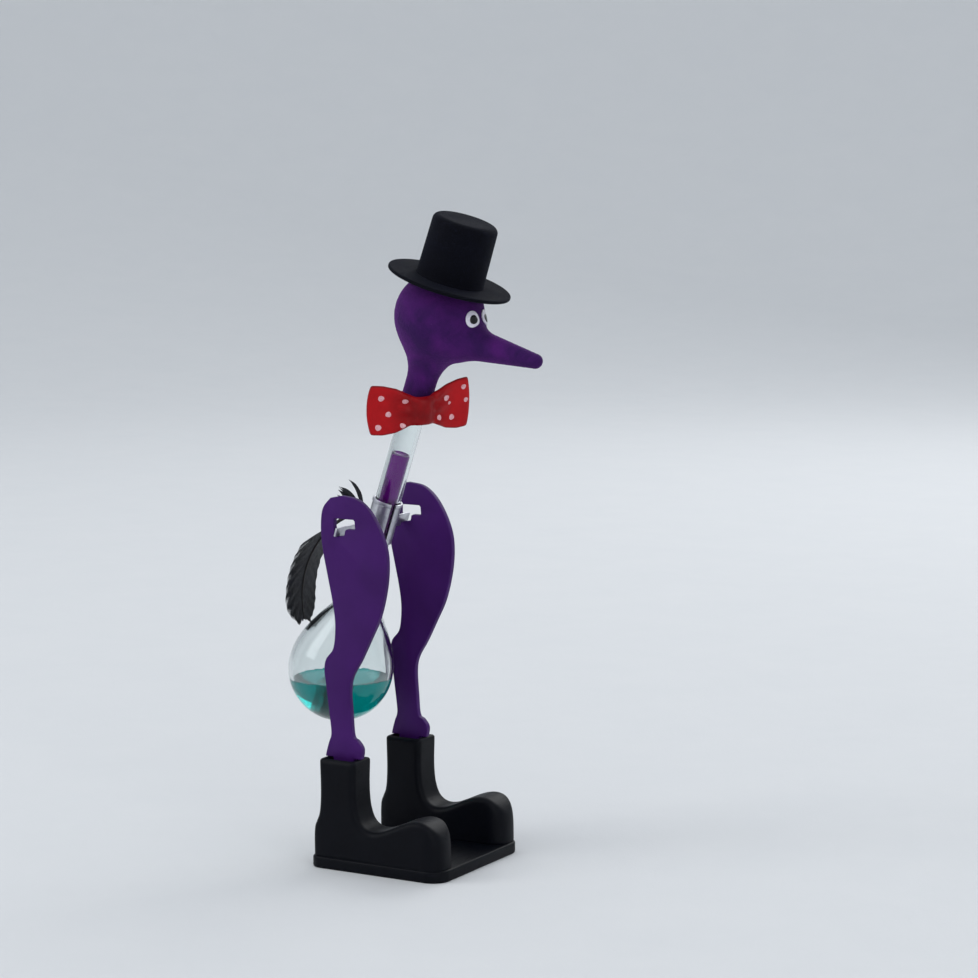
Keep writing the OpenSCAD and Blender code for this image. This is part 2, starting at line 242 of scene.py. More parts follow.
def flock():
    """Purple flock: short dense pile that catches light at a glance, in soft patches, with stray clumps."""
    look = Finish("purple_flock", Sheen_Weight=0.4, Sheen_Roughness=0.38, Sheen_Tint=rgb(170, 90, 200),
                  Specular_IOR_Level=0.15)
    patch = look.noise(120, 4, 0.6, warp=0.4)
    pile = look.noise(6500, 3, 0.7)
    shade = look.mix(look.spread(patch, 0.36, 0.66), rgb(48, 16, 78), rgb(84, 28, 110))
    shade = look.mix(look.spread(pile, 0.35, 0.68, 0.0, 0.55), shade, rgb(42, 14, 66))
    lint = look.spread(look.cells(520), 0.0, 0.1, 1.0, 0.0)
    lint = look.math("MULTIPLY", lint, look.spread(look.noise(90, 2), 0.56, 0.66, 0.0, 0.5))
    look.feed(Base_Color=look.mix(lint, shade, rgb(124, 78, 150)),
              Roughness=look.spread(patch, 0.3, 0.7, 0.78, 0.92))
    relief = look.math("ADD", look.math("MULTIPLY", pile, 0.7), look.noise(1800, 2))
    return look.bump(relief, 0.00016).material


def felt():
    """Black pressed felt: matted fibres lying every way, with a bluish bloom."""
    look = Finish("black_felt", Sheen_Weight=0.04, Sheen_Roughness=0.5, Sheen_Tint=rgb(120, 130, 170),
                  Specular_IOR_Level=0.08)
    fibres = look.math("MAXIMUM", look.noise(2600, 2, 0.6, look.stretched(1, 0.22, 0.5), 2.2),
                       look.noise(2600, 2, 0.6, look.stretched(0.25, 1, 0.8), 2.2))
    cloud = look.noise(110, 4)
    shade = look.mix(look.spread(cloud, 0.35, 0.68), rgb(4, 5, 10), rgb(9, 10, 19))
    shade = look.mix(look.spread(fibres, 0.56, 0.72, 0.0, 0.7), shade, rgb(20, 23, 36))
    look.feed(Base_Color=shade, Roughness=look.spread(cloud, 0.3, 0.7, 0.75, 0.9))
    return look.bump(look.math("ADD", fibres, look.noise(6000, 1)), 0.00009).material


def sheet_metal():
    """Plated steel strip: drawn lines along the tube, dulled patches and a few dark specks."""
    look = Finish("plated_steel", Metallic=1.0)
    lines = look.noise(5200, 3, 0.6, look.stretched(1, 1, 0.04))
    dull = look.noise(260, 4, 0.6, warp=0.5)
    specks = look.spread(look.cells(900), 0.04, 0.1, 1.0, 0.0)
    shade = look.mix(look.spread(dull, 0.35, 0.7), rgb(206, 207, 212), rgb(170, 171, 180))
    look.feed(
        Base_Color=look.mix(look.math("MULTIPLY", specks, 0.6), shade, rgb(72, 66, 64)),
        Roughness=look.math("ADD", look.spread(dull, 0.3, 0.7, 0.26, 0.4), look.math("MULTIPLY", lines, 0.1)),
    )
    return look.bump(look.math("ADD", lines, look.math("MULTIPLY", dull, 0.5)), 0.00001).material


def feather_black(name, colour, tip):
    """Dyed feather: silky black with a cold gloss along each barb."""
    look = Finish(name, Sheen_Weight=0.08, Sheen_Roughness=0.35,
                  Sheen_Tint=rgb(110, 120, 150), Specular_IOR_Level=0.25)
    cloud = look.noise(180, 3)
    look.feed(Base_Color=look.mix(look.spread(cloud, 0.35, 0.7), colour, tip),
              Roughness=look.spread(look.noise(1400, 2), 0.3, 0.7, 0.4, 0.6))
    return look.bump(look.noise(7000, 2), 0.00002).material


def bow_red(knot):
    """Red moulded plastic with an orange-peel skin, with painted shade darkening it towards its knot and
    along its rim.
    """
    look = Finish("bow_red", Specular_IOR_Level=0.16)
    cloud = look.noise(110, 4, 0.6)
    shade = look.mix(look.spread(cloud, 0.35, 0.68), rgb(186, 14, 22), rgb(160, 10, 18))
    # Painted shade: the red turns deep red within about 10 mm of the knot, standing in for shade in the
    # folds.
    far = look.node("VectorMath", {0: look.place, 1: knot}, "Value", operation="DISTANCE")
    far = look.math("ADD", far, look.spread(look.noise(260, 3), 0.3, 0.7, -0.0016, 0.0016))
    shade = look.mix(look.spread(far, 0.0015, 0.0105, 0.8, 0.0), shade, rgb(92, 2, 6))
    # Painted shade along the rim: the bow's edges are darkened.
    shade = look.mix(look.edges(0.515, 0.57), shade, rgb(96, 10, 16))
    look.feed(Base_Color=shade, Roughness=look.spread(look.noise(420, 3), 0.3, 0.7, 0.36, 0.5))
    relief = look.math("ADD", look.noise(1500, 2), look.math("MULTIPLY", look.noise(5200, 1), 0.5))
    return look.bump(relief, 0.00003).material


def dot_white():
    """Pad-printed ink, pinkish where the red shows through it."""
    look = Finish("dot_ink")
    thin = look.spread(look.noise(1500, 3), 0.45, 0.68, 0.0, 0.6)
    look.feed(Base_Color=look.mix(thin, rgb(228, 176, 182), rgb(204, 104, 114)),
              Roughness=look.spread(look.noise(900), 0.3, 0.7, 0.4, 0.55))
    return look.bump(look.noise(3200, 2), 0.00003).material


def enamel(name, colour, other, roughness):
    """Glossy enamel, with a slight orange peel and a cloudy tone."""
    look = Finish(name, Coat_Weight=0.25, Coat_Roughness=0.06, Specular_IOR_Level=0.3)
    look.feed(Base_Color=look.mix(look.spread(look.noise(700, 3), 0.35, 0.7), colour, other),
              Roughness=look.spread(look.noise(500), 0.3, 0.7, roughness, roughness + 0.1))
    return look.bump(look.noise(1200, 1), 0.00001).material


def floor_paper():
    """Matt paper, very slightly cloudy."""
    look = Finish("floor_paper", Specular_IOR_Level=0.2)
    look.feed(Base_Color=look.mix(look.noise(30, 3), (0.66, 0.675, 0.69, 1), (0.69, 0.7, 0.71, 1)),
              Roughness=look.spread(look.noise(90), 0.3, 0.7, 0.7, 0.85))
    return look.bump(look.noise(900, 3), 0.00005).material


BLACK_PLASTIC = moulded("black_plastic", rgb(5, 7, 15), rgb(18, 21, 32), 0.48, Specular_IOR_Level=0.11)
PURPLE_PLASTIC = moulded("purple_plastic", rgb(64, 22, 97), rgb(67, 26, 101), 0.5, Specular_IOR_Level=0.15)
GLASS = clear_glass()
TEAL = liquid("teal_liquid", rgb(24, 190, 186), (0.22, 0.93, 0.925, 1), 150, 0.88)
PURPLE = liquid("purple_liquid", rgb(150, 34, 172), (0.66, 0.18, 0.7, 1), 330, 0.6)
FLOCK, FELT, STEEL = flock(), felt(), sheet_metal()
BARB = feather_black("barb_black", rgb(14, 15, 20), rgb(22, 25, 34))
QUILL = feather_black("quill_black", rgb(26, 24, 26), rgb(48, 42, 42))
RED = bow_red(tuple(LEAN_ORIGIN + (AHEAD * KNOT[0] + LEFT * KNOT[1] + UP * KNOT[2]) * MM))
DOT = dot_white()
EYE_WHITE = enamel("eye_white", rgb(232, 229, 238), rgb(214, 210, 226), 0.2)
PUPIL = enamel("pupil_black", rgb(4, 4, 7), rgb(9, 9, 13), 0.12)

# ------------------------------------------------------------------ building blocks


def smooth_run(points, steps=6):
    """Points on a smooth line through the given ones."""
    points = [np.array(p, float) for p in points]
    around = [points[0], *points, points[-1]]
    out = []
    for a, b, c, d in zip(around, points, points[1:], around[3:]):
        for t in np.arange(steps) / steps:
            out.append(0.5 * (2 * b + (c - a) * t + (2 * a - 5 * b + 4 * c - d) * t**2
                              + (3 * b - a - 3 * c + d) * t**3))
    return np.array([*out, points[-1]])


def rounded(points, radius, steps=5):
    """A closed outline with each of its corners rounded off."""
    points = [np.array(p, float) for p in points]
    out = []
    for i, corner in enumerate(points):
        before, after = points[i - 1] - corner, points[(i + 1) % len(points)] - corner
        cut = min(radius, np.linalg.norm(before) * 0.48, np.linalg.norm(after) * 0.48)
        start = corner + before / np.linalg.norm(before) * cut
        end = corner + after / np.linalg.norm(after) * cut
        for t in np.linspace(0, 1, steps + 1):
            out.append((1 - t) ** 2 * start + 2 * t * (1 - t) * corner + t**2 * end)
    return np.array(out)


def piece(name, solids, body, nodes, place=LEANED, materials=(), crease=40):
    """An object from solids, each (vertices, faces). Given a body, it rides on it in place of CAD nodes."""
    turn, origin = place
    points, faces = [], []
    for solid_points, solid_faces in solids:
        shift = len(points)
        points.extend(np.asarray(solid_points, float) @ turn.T * MM + origin)
        faces.extend([tuple(int(i) + shift for i in face) for face in solid_faces])
    mesh = bpy.data.meshes.new(name)
    mesh.from_pydata([tuple(p) for p in points], [], faces)
    for material in materials:
        mesh.materials.append(material)
    made = bpy.data.objects.new(name, mesh)
    bpy.context.scene.collection.objects.link(made)
    edit = bmesh.new()
    edit.from_mesh(mesh)
    bmesh.ops.remove_doubles(edit, verts=edit.verts, dist=2e-7)
    bmesh.ops.recalc_face_normals(edit, faces=edit.faces)
    edit.to_mesh(mesh)
    edit.free()
    shade(made, crease)
    if body:
        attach(made, body)
        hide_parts(*nodes)
    return made


def shade(made, crease):
    """Smooth shading, sharp only where faces meet at more than crease degrees."""
    made.data.polygons.foreach_set("use_smooth", [True] * len(made.data.polygons))
    made.data.set_sharp_from_angle(angle=math.radians(crease))


def settle(made, *modifiers, crease=40):
    """Adds modifiers, each (type, settings), and applies them to the mesh."""
    for kind, settings in modifiers:
        modifier = made.modifiers.new(kind, kind)
        for key, value in settings.items():
            setattr(modifier, key, value)
    depsgraph = bpy.context.evaluated_depsgraph_get()
    mesh = bpy.data.meshes.new_from_object(made.evaluated_get(depsgraph))
    made.modifiers.clear()
    made.data = mesh
    shade(made, crease)


def lathe(outline, steps=128, start=0.0, sweep=360.0, closed=False):
    """Turns an outline of (radius, height) about the tube's axis; a closed one turned in part gets ends."""
    whole = sweep >= 360
    turns = np.radians(start + sweep * np.arange(steps if whole else steps + 1) / steps)
    outline = np.asarray(outline, float)
    count = len(outline)
    points = [(r * math.cos(a), r * math.sin(a), h) for a in turns for r, h in outline]
    faces = []
    for i in range(steps):
        j = (i + 1) % len(turns)
        for k in range(count if closed else count - 1):
            m = (k + 1) % count
            faces.append((i * count + k, j * count + k, j * count + m, i * count + m))
    if closed and not whole:
        faces += [tuple(range(count)), tuple(steps * count + k for k in reversed(range(count)))]
    return points, faces


def side_faces(count, size):
    """Faces that join that many closed rings, of that many points each, in order."""
    return [(i * size + k, i * size + (k + 1) % size, (i + 1) * size + (k + 1) % size, (i + 1) * size + k)
            for i in range(count - 1) for k in range(size)]


def end_face(count, size):
    """The face over the last of those rings."""
    return tuple((count - 1) * size + k for k in reversed(range(size)))


def loft(rings):
    """Joins closed rings of equal count in order, with a face over each end."""
    rings = np.asarray(rings, float)
    count, size = rings.shape[:2]
    faces = [*side_faces(count, size), tuple(range(size)), end_face(count, size)]
    return rings.reshape(-1, 3), faces


def strand(path, widths, thick, across):
    """A thin tapering strip with a flat diamond section along a path; across gives its wide direction."""
    path = np.asarray(path, float)
    along = np.gradient(path, axis=0)
    along /= np.linalg.norm(along, axis=1)[:, None]
    wide = across - along * (across * along).sum(1)[:, None]
    wide /= np.linalg.norm(wide, axis=1)[:, None]
    normal = np.cross(along, wide)
    half, deep = np.asarray(widths)[:, None] / 2, thick / 2
    wide, normal = wide * half, normal * deep
    return loft(np.stack([path + wide, path + normal, path - wide, path - normal], 1))


def settle_on(field, points, level=0.0, rounds=6):
    """Moves points along a field's slope until its value there is level."""
    step = 0.01
    for _ in range(rounds):
        slope = np.stack([(field(points + d) - field(points - d)) / (2 * step) for d in np.eye(3) * step], 1)
        move = (field(points) - level) / np.maximum((slope**2).sum(1), 0.05)
        points = points - slope * np.clip(move, -0.6, 0.6)[:, None]
    return points


def skin(field, low, high, cell):
    """An even mesh over a field's zero surface, inside a box."""
    axes = [np.arange(a, b + cell, cell) for a, b in zip(low, high)]
    grid = np.stack(np.meshgrid(*axes, indexing="ij"), -1)
    inside = (field(grid.reshape(-1, 3)) < 0).reshape(grid.shape[:3])
    corners = sum(inside[i: i + inside.shape[0] - 1, j: j + inside.shape[1] - 1, k: k + inside.shape[2] - 1]
                  .astype(int) for i in (0, 1) for j in (0, 1) for k in (0, 1))
    cut = (corners > 0) & (corners < 8)
    number = np.full(cut.shape, -1)
    number[cut] = np.arange(cut.sum())
    points = grid[:-1, :-1, :-1][cut] + cell / 2
    faces = []
    for axis in range(3):
        here, cells = np.moveaxis(inside, axis, 0), np.moveaxis(number, axis, 0)
        change = here[:-1, 1:-1, 1:-1] != here[1:, 1:-1, 1:-1]
        faces.append(np.stack([cells[:, :-1, :-1][change], cells[:, 1:, :-1][change],
                               cells[:, 1:, 1:][change], cells[:, :-1, 1:][change]], 1))
    faces = np.concatenate(faces)
    ends = np.concatenate([faces[:, [k, (k + 1) % 4]] for k in range(4)])
    for _ in range(3):
        total, near = np.zeros_like(points), np.zeros(len(points))
        for a, b in ((0, 1), (1, 0)):
            np.add.at(total, ends[:, a], points[ends[:, b]])
            np.add.at(near, ends[:, a], 1)
        points = settle_on(field, 0.4 * points + 0.6 * total / near[:, None], rounds=3)
    return points, faces


def soft_min(a, b, reach):
    """The nearer of two fields, blended where they are within reach of each other."""
    share = np.clip(0.5 + 0.5 * (b - a) / reach, 0, 1)
    return b * (1 - share) + a * share - reach * share * (1 - share)


def round_both(a, b, radius):
    """What lies inside both fields, with the edge between them rounded."""
    a, b = a + radius, b + radius
    return np.minimum(np.maximum(a, b), 0) + np.hypot(np.maximum(a, 0), np.maximum(b, 0)) - radius


def outline_field(outline):
    """Signed distance from a closed flat outline, negative inside."""
    start = np.asarray(outline, float)
    step = np.roll(start, -1, 0) - start

    def field(x, y):
        near = np.full(len(x), 1e9)
        odd = np.zeros(len(x), bool)
        for (ax, ay), (dx, dy) in zip(start, step):
            px, py = x - ax, y - ay
            share = np.clip((px * dx + py * dy) / (dx * dx + dy * dy), 0, 1)
            near = np.minimum(near, np.hypot(px - share * dx, py - share * dy))
            crosses = (ay > y) != (ay + dy > y)
            if dy:
                odd ^= crosses & (px < dx * py / dy)
        return np.where(odd, -near, near)

    return field


def softened(name, node, material, body, bevel, steps=3, cut=None):
    """A CAD node's own shape with its edges rounded, as a piece that stands for it.

    Flat faces are parted at the height of cut, which keeps seams out of the corners of a window there.
    """
    mesh = frame["nodes"][node].data.copy()
    mesh.materials.clear()
    mesh.materials.append(material)
    made = bpy.data.objects.new(name, mesh)
    bpy.context.scene.collection.objects.link(made)
    edit = bmesh.new()
    edit.from_mesh(mesh)
    bmesh.ops.remove_doubles(edit, verts=edit.verts, dist=1e-6)
    if cut is not None:
        whole = [*edit.verts, *edit.edges, *edit.faces]
        parted = bmesh.ops.bisect_plane(edit, geom=whole, plane_co=(0, 0, cut), plane_no=(0, 0, 1))
        for part in parted["geom_cut"]:
            if isinstance(part, bmesh.types.BMEdge):
                part.seam = True
    bmesh.ops.dissolve_limit(edit, angle_limit=math.radians(0.5), verts=edit.verts, edges=edit.edges,
                             delimit={"SEAM"})
    bmesh.ops.recalc_face_normals(edit, faces=edit.faces)
    edit.to_mesh(mesh)
    edit.free()
    mesh.polygons.foreach_set("material_index", [0] * len(mesh.polygons))
    shade(made, 40)
    settle(made, ("BEVEL", {"width": bevel * MM, "segments": steps, "limit_method": "ANGLE",
                            "angle_limit": math.radians(50)}),
           ("WEIGHTED_NORMAL", {"mode": "FACE_AREA", "weight": 100, "keep_sharp": True}))
    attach(made, body)
    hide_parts(node)


# ------------------------------------------------------------------ stand

WINDOW_CUT = PIVOT.z + 3 * MM  # a height that crosses the legs' windows

softened("base", "base_plate", BLACK_PLASTIC, "stand", 0.55, 4)
for side in ("left", "right"):
    softened(f"{side}_leg", f"leg_{side}", PURPLE_PLASTIC, "stand", 0.3, 3, WINDOW_CUT)

BASE_HIGH = span("base_plate", STAND)[1][2]
boot_low, boot_high = span("boot_left", STAND)
TOE_X, BOOT_HIGH = boot_high[0], boot_high[2]
BOOT_HALF = (boot_high[1] - boot_low[1]) / 2
LEG_Y = (boot_high[1] + boot_low[1]) / 2
WELL_X, WELL_HALF_X, WELL_HALF_Y, WELL_DEEP = 1.85, 4.2, 3.3, 1.6  # the well in a boot's top
BOOT_INSET, BOOT_ROUND, WELL_ROUND = 0.06, 1.5, 0.5
BOOT_BACK = [(-3.7, 26), (-3.6, 22), (-3.7, 18), (-4.1, 14.9), (-5.0, 12.9), (-6.0, 11.2), (-6.45, 8.5),
             (-6.4, 5.5)]
BOOT_FRONT = [(34.1, 5.5), (33.6, 10), (32, 13.4), (29.4, 15.5), (26.2, 15.9), (22.5, 14.9), (18, 12.9),
              (14.6, 11.7), (11.6, 11.7), (9.2, 13.3), (7.9, 16.4), (7.4, 20), (7.3, 24)]
boot_side = np.concatenate([
    [(-3.3, BOOT_HIGH), (-3.75, BOOT_HIGH - 0.4), (-3.8, BOOT_HIGH - 1.2)], smooth_run(BOOT_BACK),
    [(-6.3, BASE_HIGH - 1), (34.2, BASE_HIGH - 1)], smooth_run(BOOT_FRONT),
    [(7.45, BOOT_HIGH - 1.2), (7.4, BOOT_HIGH - 0.4), (6.95, BOOT_HIGH)],
])
toe_centre = TOE_X - BOOT_HALF
toe_half = [(toe_centre + BOOT_HALF * math.sin(a), BOOT_HALF * math.cos(a))
            for a in np.linspace(0, math.pi / 2, 10)]
SOLE_SIDE = [(-6.4, 2.6), (-5.6, 4.1), (-3.8, 4.75), (0, 4.85), (7, 4.85), (14, 5.1), (22, 5.2)]
sole_half = [*smooth_run(SOLE_SIDE), *toe_half]
boot_plan = [*sole_half, *[(x, -y) for x, y in reversed(sole_half)]]
side_field, plan_field = outline_field(boot_side), outline_field(boot_plan)


def boot_field(middle):
    """A boot: its side outline and its plan, rounded where they meet, with a shallow well in its top."""
    def field(p):
        x, y, z = p[:, 0], p[:, 1] - middle, p[:, 2]
        solid = round_both(side_field(x, z), plan_field(x, y) + BOOT_INSET, BOOT_ROUND)
        mouth = np.maximum(np.abs(x - WELL_X) - WELL_HALF_X, np.abs(y) - WELL_HALF_Y)
        return np.maximum(solid, -round_both(mouth, BOOT_HIGH - WELL_DEEP - z, WELL_ROUND))

    return field


for side, middle in (("left", LEG_Y), ("right", -LEG_Y)):
    boot = skin(boot_field(middle), (-7.2, middle - BOOT_HALF - 0.6, BASE_HIGH - 1.6),
                (TOE_X + 0.6, middle + BOOT_HALF + 0.6, BOOT_HIGH + 0.6), cell=0.42)
    piece(f"{side}_boot", [boot], "stand", [f"boot_{side}"], STAND, [BLACK_PLASTIC], 60)

# ------------------------------------------------------------------ crosspiece

sleeve_in, sleeve_out = TUBE_R + 0.05, TUBE_R + 0.5
sleeve_lip = sleeve_out + 0.18
SLIT_TURN, SLIT_WIDE = -33.0, 1.3
slit = math.degrees(SLIT_WIDE / sleeve_out)
sleeve_outline = rounded([
    (sleeve_in, SLEEVE_LOW), (sleeve_out, SLEEVE_LOW), (sleeve_out, SLEEVE_HIGH - 1.1),
    (sleeve_lip, SLEEVE_HIGH - 0.9), (sleeve_lip, SLEEVE_HIGH), (sleeve_in, SLEEVE_HIGH),
], 0.14, 4)
EAR_ROOT, EAR_END = 2.3, span("crosspiece")[1][1]
EAR_LOW, EAR_HIGH = -0.3, 2.2
EAR_AHEAD = -(LEAN_ORIGIN - PIVOT).dot(AHEAD) / MM
TOOTH_IN, TOOTH_OUT, TOOTH_LOW = 11.9, 15.3, -1.4
EAR_LAYERS = [(-0.3, 0.22), (-0.24, 0.08), (-0.12, 0.0), (0.12, 0.0), (0.24, 0.08), (0.3, 0.22)]


def ear(side):
    """A sheet-metal ear, from the sleeve's back to beyond a leg, with the tooth that keeps it centred."""
    outline = rounded([
        (EAR_ROOT, EAR_LOW), (TOOTH_IN, EAR_LOW), (TOOTH_IN, TOOTH_LOW), (TOOTH_OUT, TOOTH_LOW),
        (TOOTH_OUT, EAR_LOW), (EAR_END, EAR_LOW), (EAR_END, EAR_HIGH), (EAR_ROOT, EAR_HIGH),
    ], 0.4, 4)
    rings = []
    for depth, inset in EAR_LAYERS:
        middle = outline.mean(0)
        reach = np.abs(outline - middle).max(0)
        shrunk = middle + (outline - middle) * (1 - inset / reach)
        rings.append([(EAR_AHEAD + depth, side * y, z) for y, z in shrunk])
    return loft(rings)


sleeve = lathe(sleeve_outline, 120, SLIT_TURN + slit / 2, 360 - slit, closed=True)
piece("crosspiece_sheet", [sleeve, ear(1), ear(-1)], "rocker", ["crosspiece"],
      materials=[STEEL], crease=50)

# ------------------------------------------------------------------ tail feather

FEATHER_X, FEATHER_Z, FEATHER_R = 7.0, -19.0, 26.0
VANE_FROM, VANE_SPAN, VANE_HALF = 146.0, 67.5, 7.5
SHAFT_FROM, SHAFT_SPAN = 116.5, 95.0
BARB_WIDTHS = [0.5, 0.62, 0.62, 0.6, 0.56, 0.5, 0.4, 0.16]
BARB_STEP = 0.0086  # from barb to barb, as a share of the vane's length
BARB_CURL = 0.25  # how much a barb's outer part sweeps on towards the tip
DOWN_COUNT, DOWN_STEPS = 22, 15


def on_feather(angle, aside=0.0, out=0.0):
    """A point on the feather's curve at an angle in degrees, aside from the shaft and raised off the vane."""
    a, reach = math.radians(angle), FEATHER_R + out
    return np.array([FEATHER_X + reach * math.cos(a), aside, FEATHER_Z + reach * math.sin(a)])


def vane_half(share):
    """Half width of the vane at a share of its length: it opens at once, stays wide and has a round tip."""
    share = min(max(share, 0.0), 1.0)
    opening = min(1, (share / 0.17 + 0.06) ** 0.7)
    return VANE_HALF * opening * math.sqrt(max(1 - max(0, (share - 0.76) / 0.24) ** 2.2, 0))


def vane():
    """Barbs on both sides of the shaft, one over the other, with a few splits where the vane has parted."""
    random = np.random.default_rng(5)
    length = math.radians(VANE_SPAN) * FEATHER_R
    solids = []
    for side in (-1, 1):
        drift, left = 0.0, 0
        for root in np.arange(-0.02, 0.955, BARB_STEP):
            if left == 0:
                left, drift = int(random.integers(7, 20)), float(random.uniform(-0.004, 0.012))
            left -= 1
            bend = 0.62 + 0.5 * max(0, root - 0.55)
            reach = VANE_HALF
            for _ in range(5):
                reach = 0.5 * reach + 0.5 * vane_half(root + (bend + BARB_CURL) * reach / length + drift)
            if reach < 0.25:
                continue
            path = []
            for q in np.linspace(0, 1, len(BARB_WIDTHS)):
                share = root + (bend * q + BARB_CURL * q * q) * reach / length + drift * q * q
                aside = side * reach * q * min(1.0, 1.02 - 0.1 * max(0, share - 1))
                cupped = 0.008 * (reach * q) ** 2 + 0.5 * max(0, share - 0.8)
                lift = cupped + random.uniform(-0.03, 0.03) + 0.1 * math.sin(root * 60) * q
                path.append(on_feather(VANE_FROM + VANE_SPAN * share, aside, lift))
            angle = VANE_FROM + VANE_SPAN * root
            solids.append(strand(path, BARB_WIDTHS, 0.1, on_feather(angle + 1) - on_feather(angle)))
    return solids


def down():
    """Soft curled barbs at the feather's base: a few broad ones stand up, short ones lie between them."""
    random = np.random.default_rng(11)
    solids = []
    for i in range(DOWN_COUNT):
        long = i % 5 == 0
        start = on_feather(121.5 + 2.4 * (i // 5) if long else 120 + 12 * i / DOWN_COUNT)
        side = -1 if i % 2 else 1
        size = 10.2 - 0.75 * (i // 5) if long else random.uniform(2.6, 4.4)
        heading = math.radians(random.uniform(118, 130) if long else random.uniform(135, 170))
        curl = math.radians(random.uniform(46, 62))
        lean_out = random.uniform(0.05, 0.25 if long else 0.5)
        path = [start]
        along = np.linspace(0, 1, DOWN_STEPS)
        for q in along[1:]:
            turn = heading + curl * q**1.6
            way = np.array([math.cos(turn), side * lean_out, math.sin(turn)])
            path.append(path[-1] + size / (DOWN_STEPS - 1) * way)
        widths = [0.5, 1.25, 0.9, 0.12] if long else [0.4, 0.6, 0.4, 0.12]
        widths = np.interp(along, [0, 0.45, 0.8, 1], widths)
        solids.append(strand(path, widths, 0.18, np.array([0.87, 0.5, 0.15])))
    return solids


def shaft():
    """The feather's shaft: round, tapering towards its tip, with a blunt lower end."""
    rings = []
    for share in np.linspace(0, 1, 40):
        angle = SHAFT_FROM + SHAFT_SPAN * share
        radius = 0.6 * (1 - 0.75 * share) * (0.55 if share == 0 else 1)
        a = math.radians(angle)
        centre, out = on_feather(angle), np.array([math.cos(a), 0, math.sin(a)])
        rings.append([centre + radius * (math.cos(t) * out + math.sin(t) * np.array([0, 1, 0]))
                      for t in np.linspace(0, 2 * math.pi, 12, endpoint=False)])
    return loft(rings)


piece("tail_feather_vane", vane() + down(), "rocker", ["feather_vane"], materials=[BARB])
piece("tail_feather_shaft", [shaft()], "rocker", ["feather_quill"], materials=[QUILL])

# ------------------------------------------------------------------ glass and liquid

BULB_OUTLINE = [
    (3.52, -16.4), (3.75, -18.0), (4.4, -19.9), (5.6, -21.8), (7.4, -24.1), (9.3, -26.9), (11.1, -30.0),
    (12.8, -33.4), (14.0, -37.2), (14.4, -41.0), (13.9, -44.8), (12.3, -48.5), (9.7, -51.6), (6.4, -53.9),
    (3.2, -55.05), (0, -55.4),
]
WALL = 1.05
WALL_CREEP, TUBE_CREEP = 0.55, 0.4  # how high the teal liquid creeps up the wall and up the tube
CREEP_DROP = 0.35  # how far its open surface lies below the CAD's level


def inward(outline, by):
    """An open outline moved towards the axis side by that much."""
    along = np.gradient(outline, axis=0)
    along /= np.linalg.norm(along, axis=1)[:, None]
    return outline + np.stack([along[:, 1], -along[:, 0]], 1) * by


bulb_out = smooth_run(BULB_OUTLINE, 5)
bulb_in = inward(bulb_out, WALL)
bulb_in = bulb_in[(bulb_in[:, 0] > TUBE_R + 0.9) | (bulb_in[:, 1] < BULB_MID)]
bulb_in[:, 0] = np.maximum(bulb_in[:, 0], 0)
bulb_in[-1, 0] = 0
neck_in = [(TUBE_R, -22.6), (TUBE_R + 0.08, -21.6), (TUBE_R + 0.4, -21.3), tuple(bulb_in[0])]
neck_in = smooth_run(neck_in, 5)[:-1]
tube_wall = TUBE_R - BORE_R
tube_end = [(TUBE_R - tube_wall / 2 * (1 - math.cos(a)), TUBE_LOW + 0.4 - 0.4 * math.sin(a))
            for a in np.linspace(0, math.pi, 9)]
vessel = np.concatenate([
    bulb_out[::-1], [(TUBE_R, h) for h in np.linspace(-15, TUBE_HIGH, 30)],
    [(BORE_R, h) for h in np.linspace(TUBE_HIGH, TUBE_LOW + 0.5, 40)], tube_end[::-1],
    [(TUBE_R, h) for h in np.linspace(TUBE_LOW + 0.6, -23, 14)], neck_in, bulb_in,
])
piece("glass_vessel", [lathe(vessel)], "bird", ["riser_tube", "lower_bulb"], materials=[GLASS])


def bulb_liquid():
    """The teal liquid, level with the table, creeping up a little where it meets the glass."""
    turn, origin = LEANED
    fit = inward(bulb_out, WALL - 0.1)  # a little into the glass, so that no gap shows
    fit = fit[fit[:, 1] < -22]

    def field(p):
        r, h = np.hypot(p[:, 0], p[:, 1]), p[:, 2]
        z = (p @ turn.T * MM + origin)[:, 2] / MM
        wall = r - np.interp(h, fit[::-1, 1], np.maximum(fit[::-1, 0], 0))
        tube = TUBE_R - 0.08 - r
        creep = WALL_CREEP * np.exp(np.minimum(wall, 0) / 0.5)
        creep = creep + TUBE_CREEP * np.exp(np.minimum(tube, 0) / 0.4)
        floor = fit[-1, 1] - h
        return np.maximum.reduce([wall * 0.85, tube, z - (LEVEL - CREEP_DROP) - creep, floor])

    return skin(field, (-14.4, -14.4, -56), (14.4, 14.4, -30), cell=0.4)


piece("teal_liquid", [bulb_liquid()], "bird", ["bulb_liquid"], materials=[TEAL], crease=35)

column_top = smooth_run([(0, COLUMN_HIGH - 0.55), (COLUMN_R * 0.5, COLUMN_HIGH - 0.45),
                         (COLUMN_R * 0.85, COLUMN_HIGH - 0.2), (COLUMN_R, COLUMN_HIGH)], 4)
column_side = [(COLUMN_R, h) for h in np.linspace(COLUMN_LOW + 1, COLUMN_HIGH - 0.1, 30)]
column = [(0, COLUMN_LOW), (COLUMN_R - 0.2, COLUMN_LOW), (COLUMN_R, COLUMN_LOW + 0.2), *column_side,
          *column_top[::-1]]
piece("purple_liquid", [lathe(column, 64)], "column", ["column_liquid"], materials=[PURPLE])

# The glass bulb inside the head keeps its CAD shape.
head_glass = frame["nodes"]["head_bulb"]
head_glass.data.materials.clear()
head_glass.data.materials.append(GLASS)

# ------------------------------------------------------------------ head

BEAK_ROOT, BEAK_TIP = np.array([9.5, 0, -3.7]), np.array([30.9, 0, -1.35])
BEAK_ROOT_R, BEAK_TIP_R, NECK_R = 4.8, 2.0, 4.12
NECK_DROP = 14.5  # the middle of the neck's length, down from the head's middle
NECK_BLEND, BEAK_BLEND = 7.0, 5.0


